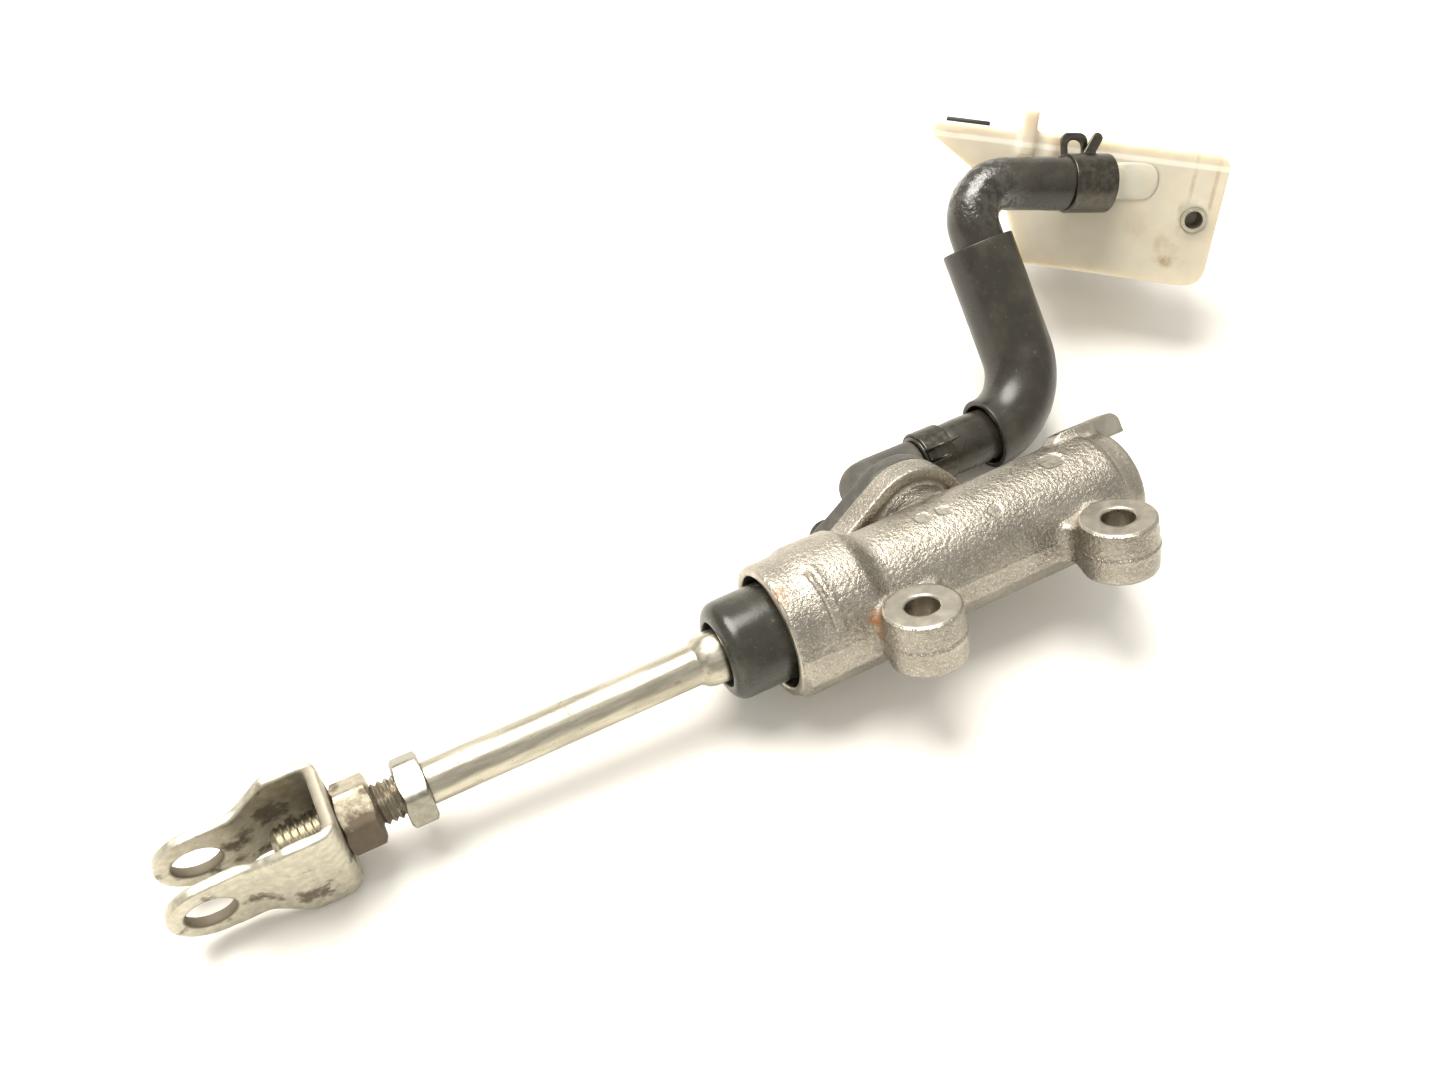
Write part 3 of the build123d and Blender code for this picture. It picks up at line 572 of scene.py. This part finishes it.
# ---- cast body -------------------------------------------------------------------------------
def make_body():
    points, faces = cad_arrays("cylinder_body")
    points, faces = remeshed(turned_about_x(points, -BODY_ROLL), faces, 0.36)
    x, y, z = points.T
    from_bore = np.hypot(y, z)
    machined = np.zeros(len(points))
    for lug_x in LUG_X:
        reach = np.hypot(x - lug_x, y - LUG_Y)
        face = (reach < LUG_R + 0.5) & (np.abs(z) > LUG_HALF - 0.45)
        machined[face | (reach < LUG_HOLE_R + 0.5)] = 1
    machined[(y > SEAT_Y - 0.5) & (from_bore > 13)] = 1
    machined[(from_bore < 11.9) & (x < -66)] = 1
    machined[(from_bore < 7.6) | (x > -0.35)] = 1
    machined[(x < MOUTH_X + 0.5) & (from_bore < 14)] = 1
    free = 1 - machined
    start = points.copy()
    points = relaxed(points, faces, 70, free, fill_only=True)
    points = relaxed(points, faces, 7, np.maximum(free, 0.3))
    # hollow marks how far the inside corners filled in; the material darkens them with muck and painted
    # shade.
    hollow = np.clip(np.linalg.norm(points - start, axis=1) / 0.5, 0, 1) * free
    # The lower die was a little larger at the lugs, so they have a step at mid-height.
    for lug_x in LUG_X:
        sideways = points - [lug_x, LUG_Y, 0]
        sideways[:, 2] = 0
        reach = np.linalg.norm(sideways, axis=1)
        wall = (np.abs(reach - LUG_R) < 1.2) & (points[:, 1] < LUG_Y + 4)
        step = wall * (1 - smooth_step(points[:, 2], -0.22, 0.12)) * 0.30
        points += sideways / np.maximum(reach, 1e-6)[:, None] * step[:, None]
    # Ejector pin marks are small flats on the barrel's upper side.
    for mark_x, angle, radius, depth in ((-15.8, 97, 2.7, 0.28), (-46.7, 98, 1.7, 0.16),
                                         (-42.2, 100, 1.5, 0.14), (-33.2, 124, 1.6, 0.12)):
        a = math.radians(angle)
        aim = np.array([0, math.cos(a), math.sin(a)])
        height = points @ aim
        away = np.linalg.norm(points - np.array([mark_x, 0, 0]) - height[:, None] * aim, axis=1)
        inside = (away < radius) & (height > 9)
        cut = np.clip(height - (np.max(height[inside]) - depth), 0, None) * inside
        points -= cut[:, None] * aim
        machined = np.maximum(machined, 0.6 * (cut > 0.02))
    # A crease in the casting where the mouth steps up into the housing.
    around = np.degrees(np.arctan2(points[:, 2], points[:, 1]))
    reach = smooth_step(around, 104, 114) * (1 - smooth_step(around, 158, 166))
    line_x = -74.3 + 0.4 * np.sin(np.radians(around * 3))
    crease = np.exp(-((points[:, 0] - line_x) / 0.42) ** 2) - 0.35 * np.exp(
        -((points[:, 0] - line_x - 1.3) / 0.6) ** 2)
    radial = points * [0, 1, 1] / np.maximum(from_bore, 1)[:, None]
    outside = from_bore > 12.5
    points -= radial * (0.55 * crease * reach * outside)[:, None]
    # The crease joins hollow, so the material darkens it: a painted shade line along the groove.
    hollow = np.maximum(hollow, np.clip(crease, 0, 1) * reach * outside)
    machined = np.maximum(machined, 0.55 * (points[:, 0] > -4.9) * (from_bore > 9))
    seam = np.exp(-(points[:, 2] / 0.16) ** 2) * (np.hypot(points[:, 1], points[:, 2]) > 10.5) * free
    points = turned_about_x(points, BODY_ROLL)
    return piece("body_casting", (points, faces), "housing", ["cylinder_body"], "cast", CAST,
                 machined=machined, hollow=hollow, seam=seam)


make_body()


# ---- push rod, nuts, clevis, boot ------------------------------------------------------------
def make_rod():
    segments = 72
    angles = np.linspace(0, 2 * math.pi, segments, endpoint=False)
    half_turn = angles / (2 * math.pi)
    rings = []

    def ring(x, radius):
        rings.append(np.stack([np.full(segments, x), radius * np.cos(angles),
                               radius * np.sin(angles)], 1))

    ring(ROD_TIP_X, np.full(segments, 0.01))
    ring(ROD_TIP_X, np.full(segments, ROD_R - 1.15))
    steps = int((THREAD_START_X - ROD_TIP_X) / THREAD_PITCH * 10)
    for i in range(1, steps):
        x = ROD_TIP_X + (THREAD_START_X - ROD_TIP_X) * i / steps
        phase = (x / THREAD_PITCH - half_turn) % 1.0
        crest = 1 - np.clip(np.abs(phase - 0.5) * 2.5 - 0.12, 0, 1)
        fade = min(1.0, (x - ROD_TIP_X) / 1.2)
        limit = ROD_R - 1.0 * (1 - fade)
        radius = np.minimum(ROD_R - 0.04 - THREAD_DEPTH * (1 - crest), limit)
        ring(x, radius)
    shank = np.full(segments, ROD_R)
    for x, drop in ((THREAD_START_X, 0.45), (THREAD_START_X + 0.5, 0.0), (COLLAR_X - 5.4, 0.0)):
        ring(x, shank - drop)
    # Forged collar: a ball pressed flat on two opposite sides for the spanner.
    for t in np.linspace(-0.72, 0.72, 30):
        x = COLLAR_X + COLLAR_R * math.sin(t * math.pi / 2)
        ball = COLLAR_R * math.cos(t * math.pi / 2)
        facet = 4.95 / np.maximum(np.abs(np.cos(angles - math.radians(38))), 1e-3)
        ring(x, np.maximum(np.minimum(ball, facet), ROD_R))
    for x, radius in ((-63.8, ROD_R), (-63.7, FLANGE_R), (-62.7, FLANGE_R), (-62.4, 3.2),
                      (-61.9, 3.05)):
        ring(x, np.full(segments, radius))
    for t in np.linspace(-0.52, 1.0, 14):
        ring(BALL_X + BALL_R * math.sin(t * math.pi / 2),
             np.full(segments, max(BALL_R * math.cos(t * math.pi / 2), 0.01)))
    piece("push_rod", rings_mesh(rings, cap_ends=True), "pushrod", ["pushrod"], "zinc", ROD_ZINC,
          sharp=40)


def hex_nut(x0, thickness, turn):
    """Chamfered hexagon with a threaded hole."""
    segments = 96
    angles = np.linspace(0, 2 * math.pi, segments, endpoint=False)
    sector = (angles - turn) % (math.pi / 3) - math.pi / 6
    flat = NUT_AF / 2 / np.cos(sector)
    outline = np.minimum(flat, NUT_AF / math.sqrt(3) - 0.22)
    face_r = NUT_AF / 2 * 0.96
    bevel = (outline - face_r) * math.tan(math.radians(30))
    x1 = x0 + thickness

    def ring(x, radius):
        return np.stack([x + np.zeros(segments), radius * np.cos(angles),
                         radius * np.sin(angles)], 1)

    rings = [ring(x0 + 0.5, np.full(segments, NUT_BORE_R)),
             ring(x0, np.full(segments, NUT_BORE_MOUTH_R)),
             ring(x0, np.full(segments, face_r)), ring(x0 + bevel, outline),
             ring(x0 + bevel + 0.2, outline), ring(x1 - bevel - 0.2, outline),
             ring(x1 - bevel, outline), ring(x1, np.full(segments, face_r)),
             ring(x1, np.full(segments, NUT_BORE_MOUTH_R)),
             ring(x1 - 0.5, np.full(segments, NUT_BORE_R))]
    return rings_mesh(rings, close_rows=True)


def make_nuts():
    piece("lock_nut_hex", hex_nut(LOCK_NUT_X, LOCK_NUT_T, math.radians(12)), "lock_nut",
          ["lock_nut"], "zinc", NUT_ZINC, sharp=28)
    piece("clevis_nut_hex", hex_nut(CLEVIS_BASE_X, CLEVIS_NUT_T, math.radians(20)), "clevis",
          ["clevis_nut"], "rusty", RUST, sharp=28)


def make_clevis():
    points, faces = remeshed(*cad_arrays("clevis"), 0.26)
    x, y, z = points.T
    bend = np.exp(-((x + 180.5) / 4.5) ** 2) + np.exp(-((x - CLEVIS_BASE_X + 2) / 2.0) ** 2)
    points = relaxed(points, faces, 9)
    points = relaxed(points, faces, 26, np.clip(bend, 0, 1) * 0.8)
    # Brown muck and painted shade darken the eyes, the corners inside the fork and the join where the
    # nut was welded on.
    x, y, z = points.T
    in_eye = 1 - smooth_step(np.hypot(x - CLEVIS_EYE_X, z), 4.25, 4.7)
    inside = (np.abs(y) < 6.2) * (1 - smooth_step(np.abs(x - CLEVIS_BASE_X + 2.3), 0.6, 3.2))
    by_nut = (x > CLEVIS_BASE_X - 0.3) * (1 - smooth_step(np.hypot(y, z), 6.5, 9.0))
    grime = np.clip(in_eye + 0.75 * inside + 0.8 * by_nut, 0, 1)
    piece("clevis_fork", (points, faces), "clevis", ["clevis"], "zinc", ZINC, grime=grime)


def make_boot():
    """The boot is made as two pieces, a skirt and a neck, that meet at the split; neither rides on a
    moving body."""
    skirt = [(BOOT_ROOT_X, 11.45), (-70.9, 11.45), (-71.4, 10.0), (-82.0, 9.95),
             (BOOT_SPLIT_X, 9.93), (BOOT_SPLIT_X, 8.25), (-73.0, 8.4), (BOOT_ROOT_X, 8.4)]
    neck = [(BOOT_SPLIT_X, 8.25), (BOOT_SPLIT_X, 9.93), (BOOT_RIM_X, 9.8), (BOOT_RIM_X, 6.6),
            (-91.2, 6.1), (-90.4, 4.2), (-88.6, 4.2), (-88.0, 8.2)]

    def dents(x, angles):
        wave = 0.10 * np.sin(2 * angles + 0.4) + 0.06 * np.sin(5 * angles + x * 0.3)
        return wave * float(smooth_step(np.array(-x), 74.0, 80.0))

    for name, profile, radii, bodies, start, end in (
            ("boot_skirt", skirt, (0.3, 0.3, 0.4, 0, 0, 0, 0, 0.3), ("housing", "piston"),
             -68.6, BOOT_SPLIT_X + 0.4),
            ("boot_neck", neck, (0, 0, 2.8, 0.3, 0.4, 0.3, 0.3, 0.8), ("piston", "pushrod"),
             BOOT_SPLIT_X - 0.2, -90.0)):
        outline = rounded_outline(profile, radii)
        made = piece(name, lathe(filled_in(outline, 0.5), 96, dents), None,
                     ["dust_boot"], "seal_rubber", BOOT_RUBBER, sharp=50)
        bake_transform(made)


make_rod()
make_nuts()
make_clevis()
make_boot()


# ---- hose, sleeve, clips, joint --------------------------------------------------------------
def hose_line():
    return resampled(arc_path(HOSE_ROUTE, HOSE_BENDS, 16), HOSE_STEP)


def make_hose():
    centres = hose_line()
    total = len(centres)
    along = np.arange(total) * HOSE_STEP
    length = along[-1]
    # The rubber is pinched under each clip and swells over the spigot beside it.
    swell = np.zeros(total)
    for clip, side in ((4.0, 1), (length - 5.6, -1)):
        swell -= 0.30 * np.exp(-((along - clip) / 3.2) ** 4)
        beside = clip + side * 8.0
        swell += 0.17 * np.exp(-((along - beside) / 3.4) ** 2)

    def outer(i, angles):
        return HOSE_R + swell[i] + 0.05 * np.sin(2 * angles + along[i] * 0.05)

    def inner(i, angles):
        return np.full(len(angles), HOSE_BORE_R + 0.02)

    piece("moulded_hose", pipe(centres[1:-1], outer, inner, 56), "housing", ["reservoir_hose"],
          "hose_rubber", HOSE_RUBBER)


def make_sleeve():
    low, high = Vector(HOSE_ROUTE[1]), Vector(HOSE_ROUTE[2])
    end = low + (high - low) * 0.75 + Vector((-0.6, 0, 0))
    start = (-8.2, HOSE_Y, HOSE_Z)
    centres = resampled(arc_path([start, HOSE_ROUTE[1], tuple(end)], HOSE_BENDS[:1], 16), 0.7)
    total = len(centres)

    def oval(i, angles, base):
        mouth = math.exp(-(i / 6.0) ** 2) * 0.12
        return base + mouth + 0.10 * np.sin(2 * angles + 0.9) * (i / total)

    piece("loose_sleeve",
          pipe(centres[1:-1], lambda i, a: oval(i, a, SLEEVE_R),
               lambda i, a: oval(i, a, SLEEVE_BORE_R), 64, lip=0.25),
          "housing", ["hose_sleeve"], "hose_rubber", SLEEVE_RUBBER)


def band_ring(radius, thickness, width, gap=0.0):
    """Rolled band along z, with an open gap around angle 0 if asked."""
    angles = np.linspace(gap, 2 * math.pi - gap, 90)
    outline = [((radius + thickness) * math.cos(a), (radius + thickness) * math.sin(a))
               for a in angles]
    outline += [(radius * math.cos(a), radius * math.sin(a)) for a in angles[::-1]]
    return slab(outline, -width / 2, width / 2)


def ear_loop(base, height, half, wall):
    """Windowed ear: an arch of band steel, flat, with its feet on the clip."""
    outer = rounded_outline([(base, -half), (base + height, -half), (base + height, half),
                             (base, half)], (0.1, 2.0, 2.0, 0.1))
    inner = rounded_outline([(base + 1.0, wall - half), (base + height - wall, wall - half),
                             (base + height - wall, half - wall), (base + 1.0, half - wall)],
                            (0.8, 1.5, 1.5, 0.8))
    count = 96
    rings = []
    for outline, y in ((outer, 0), (outer, CLIP_T), (inner, CLIP_T), (inner, 0)):
        path = resampled([Vector((*p, 0)) for p in outline + outline[:1]], 0.08)
        path = path[np.linspace(0, len(path) - 1, count, endpoint=False).astype(int)]
        rings.append(np.stack([path[:, 0], np.full(count, float(y)), path[:, 1]], 1))
    return rings_mesh(rings, close_rows=True)


def ear_tab(base, length, half, lean):
    """Plain ear: a narrow blade with a round tip, leaning along the hose."""
    outline = rounded_outline([(base, -half), (base + length, -half), (base + length, half),
                               (base, half)], (0.1, half * 0.95, half * 0.95, 0.1))
    points, faces = slab(outline, 0, CLIP_T)
    reach, across = points[:, 0] - base, points[:, 1]
    c, s = math.cos(lean), math.sin(lean)
    return np.stack([base + reach * c - across * s, points[:, 2], reach * s + across * c], 1), faces


def make_clip(name, node, centre, direction, ears, width, loop_z, tab_z, lean):
    inner = HOSE_R + 0.03
    loop, tab = ear_loop(inner - 0.3, 6.4, 3.4, 1.7), ear_tab(inner - 0.3, 6.6, 1.3, lean)
    loop = loop[0] + [0, -1.95, loop_z], loop[1]
    tab = tab[0] + [0, 0.8, tab_z], tab[1]
    shape = remeshed(*joined(band_ring(inner, CLIP_T, width), loop, tab), 0.17)
    shape = (relaxed(*shape, 4), shape[1])
    piece(name, placed(shape, centre, ears, direction), "housing", [node], "spring_steel", SPRING)


def make_clips():
    end, before = Vector(HOSE_ROUTE[-1]), Vector(HOSE_ROUTE[-2])
    direction = (end - before).normalized()
    make_clip("upper_clip", "hose_clip_upper", tuple(end - direction * 5.6), direction,
              (0.3, 0.7, 0.65), 10.4, -1.8, -0.1, math.radians(33))
    x0, y0, z0 = HOSE_ROUTE[0]
    make_clip("lower_clip", "hose_clip_lower", (x0 + 3.9, y0, z0), (1, 0, 0), (0, -0.56, 0.83), 6.6,
              0.0, -1.8, 0.0)


def make_joint():
    points, faces = cad_arrays("hose_joint")
    points, faces = remeshed(turned_about_x(points, -BODY_ROLL), faces, 0.30)
    points = relaxed(points, faces, 30, (points[:, 1] > SEAT_Y + 0.5) * 1.0, fill_only=True)
    points = relaxed(points, faces, 6)
    piece("elbow_joint", (turned_about_x(points, BODY_ROLL), faces), "housing", ["hose_joint"],
          "black_plastic", BLACK_PLASTIC)


make_hose()
make_sleeve()
make_clips()
make_joint()


# ---- reservoir -------------------------------------------------------------------------------
def tank_places(points):
    offset = points - np.array(TANK_ORIGIN)
    return [offset @ np.array(axis) for axis in (TANK_ALONG, TANK_UP, TANK_OUT)]


def in_tank_axes(points):
    return np.stack(tank_places(points), 1)


def from_tank_axes(points):
    turn = np.array([TANK_ALONG, TANK_UP, TANK_OUT])
    return points @ turn + np.array(TANK_ORIGIN)


def hose_heading():
    step = np.array(HOSE_ROUTE[-1]) - np.array(HOSE_ROUTE[-2])
    return step / np.linalg.norm(step)


def sunk_fairing(points, faces):
    """The spigot's root melts into the tank's face beyond the end of the hose."""
    end, further = in_tank_axes(np.array([HOSE_ROUTE[-1], HOSE_ROUTE[-1] + hose_heading()]))
    heading = further - end
    past = (points - end) @ heading
    aside = np.linalg.norm(points - end - np.clip(past, -2, 14)[:, None] * heading, axis=1)
    soft = (1 - smooth_step(aside, 8.0, 11.0)) * smooth_step(past, -1.0, 2.5) * (points[:, 2] > 0.1)
    points = points.copy()
    off_axis = np.linalg.norm(points - end - past[:, None] * heading, axis=1)
    passage = 1 - smooth_step(off_axis, PASSAGE_R + 0.3, PASSAGE_R + 0.9)
    points[:, 2] -= soft * (0.92 * points[:, 2] + 0.9 * passage)
    return relaxed(points, faces, 60, soft)


def make_tank():
    for node, name, voxel, steps in (("reservoir_base", "tank_face", 0.34, 16),
                                     ("reservoir_shell", "tank_shell", 0.42, 14)):
        points, faces = cad_arrays(node)
        points, faces = remeshed(in_tank_axes(points), faces, voxel)
        points = relaxed(points, faces, 40, fill_only=True)
        points = relaxed(points, faces, steps)
        if node == "reservoir_base":
            points = sunk_fairing(points, faces)
        points = from_tank_axes(points)
        along, up, _ = tank_places(points)
        piece(name, (points, faces), "housing", [node], "tank_plastic", TANK_PLASTIC,
              along=along, up=up)


def make_pad():
    """Thin strip of felt stuck on the tank's far edge."""
    points, _ = cad_arrays("edge_pad")
    low, high = in_tank_axes(points).min(0), in_tank_axes(points).max(0)
    outline = rounded_outline([(low[0], low[1]), (high[0], low[1]), (high[0], high[1]),
                               (low[0], high[1])], (0.15, 0.15, 0.3, 0.3))
    strip = resampled([Vector((*p, 0)) for p in outline + outline[:1]], 0.25)[:-1, :2]
    rings = [np.column_stack([strip, np.full(len(strip), z)]) for z in (-7.2, -6.9, -5.4, -5.1)]
    points, faces = rings_mesh(rings, cap_ends=True)
    piece("felt_strip", (from_tank_axes(points), faces), "housing", ["edge_pad"], "seal_rubber",
          SEAL_RUBBER)


make_tank()
make_pad()


# ---- pieces that keep their CAD shape --------------------------------------------------------
def make_spring():
    points, faces = cad_arrays("return_spring")
    spring = piece("coil_spring", (points, faces), "housing", ["return_spring"], "bright_steel",
                   CLEAN_STEEL, sharp=40)
    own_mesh(spring)


make_spring()

CAD_FINISH = {
    "piston": CLEAN_STEEL, "stop_washer": CLEAN_STEEL, "joint_screw": SPRING, "circlip": SPRING,
    "threaded_insert": ZINC, "primary_cup": SEAL_RUBBER, "secondary_cup": SEAL_RUBBER,
    "joint_seal": SEAL_RUBBER, "diaphragm": SEAL_RUBBER,
    "reservoir_cap": BLACK_PLASTIC, "diaphragm_plate": TANK_PLASTIC,
}
for node_name, finish in CAD_FINISH.items():
    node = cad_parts[node_name]
    node.data.materials.clear()
    node.data.materials.append(finish)


# ---- stage, light and camera -----------------------------------------------------------------
FLOOR_Z, FLOOR_TILT = -0.0216, math.radians(3.2)
CAMERA_PLACE = (-0.15107, -0.11294, 0.20294)
CAMERA_AZIMUTH, CAMERA_ELEVATION = -27.45, 52.86
CAMERA_LENS = 31.14
SOFT_WHITE = (1.0, 0.97, 0.92)


def make_stage():
    p = Paint("paper_floor")
    cloud = p.noise(60, 3, 0.5)
    colour = p.mix(p.span(cloud, 0.3, 0.7), (0.84, 0.815, 0.76), (0.88, 0.86, 0.82))
    finish = p.finish(base_color=colour, roughness=0.75)
    mesh = bpy.data.meshes.new("floor")
    half = 1.5
    mesh.from_pydata([(-half, -half, 0), (half, -half, 0), (half, half, 0), (-half, half, 0)], [],
                     [(0, 1, 2, 3)])
    mesh.materials.append(finish)
    floor = bpy.data.objects.new("floor", mesh)
    floor.location = (0, 0, FLOOR_Z)
    floor.rotation_euler = (0, FLOOR_TILT, 0)
    bpy.context.collection.objects.link(floor)


def area_light(name, place, target, size, power, colour):
    light = bpy.data.lights.new(name, "AREA")
    light.shape = "DISK"
    light.size = size
    light.energy = power
    light.color = colour
    lamp = bpy.data.objects.new(name, light)
    lamp.location = place
    lamp.rotation_euler = (Vector(target) - Vector(place)).to_track_quat("-Z", "Y").to_euler()
    bpy.context.collection.objects.link(lamp)


def make_light():
    world = bpy.data.worlds.new("studio")
    world.use_nodes = True
    nodes, links = world.node_tree.nodes, world.node_tree.links
    place = nodes.new("ShaderNodeTexCoord")
    split = nodes.new("ShaderNodeSeparateXYZ")
    ramp = nodes.new("ShaderNodeValToRGB")
    links.new(place.outputs["Generated"], split.inputs[0])
    links.new(split.outputs["Z"], ramp.inputs[0])
    ramp.color_ramp.elements[0].position = 0.0
    ramp.color_ramp.elements[0].color = (0.74, 0.71, 0.65, 1)
    ramp.color_ramp.elements[1].position = 0.8
    ramp.color_ramp.elements[1].color = (0.92, 0.90, 0.86, 1)
    links.new(ramp.outputs[0], nodes["Background"].inputs["Color"])
    nodes["Background"].inputs["Strength"].default_value = 0.9
    bpy.context.scene.world = world
    centre = (-0.06, 0.03, 0)
    area_light("back", (0.25, 0.95, 0.20), centre, 1.6, 3.0, SOFT_WHITE)
    area_light("key", (-0.20, 0.40, 1.00), centre, 0.80, 21, SOFT_WHITE)


def make_camera():
    data = bpy.data.cameras.new("camera")
    data.lens = CAMERA_LENS
    data.clip_start = 0.01
    camera = bpy.data.objects.new("camera", data)
    camera.location = CAMERA_PLACE
    camera.rotation_euler = (math.radians(90 - CAMERA_ELEVATION), 0,
                             math.radians(CAMERA_AZIMUTH))
    bpy.context.collection.objects.link(camera)
    bpy.context.scene.camera = camera


make_stage()
make_light()
make_camera()
bpy.context.scene.view_settings.view_transform = "Standard"
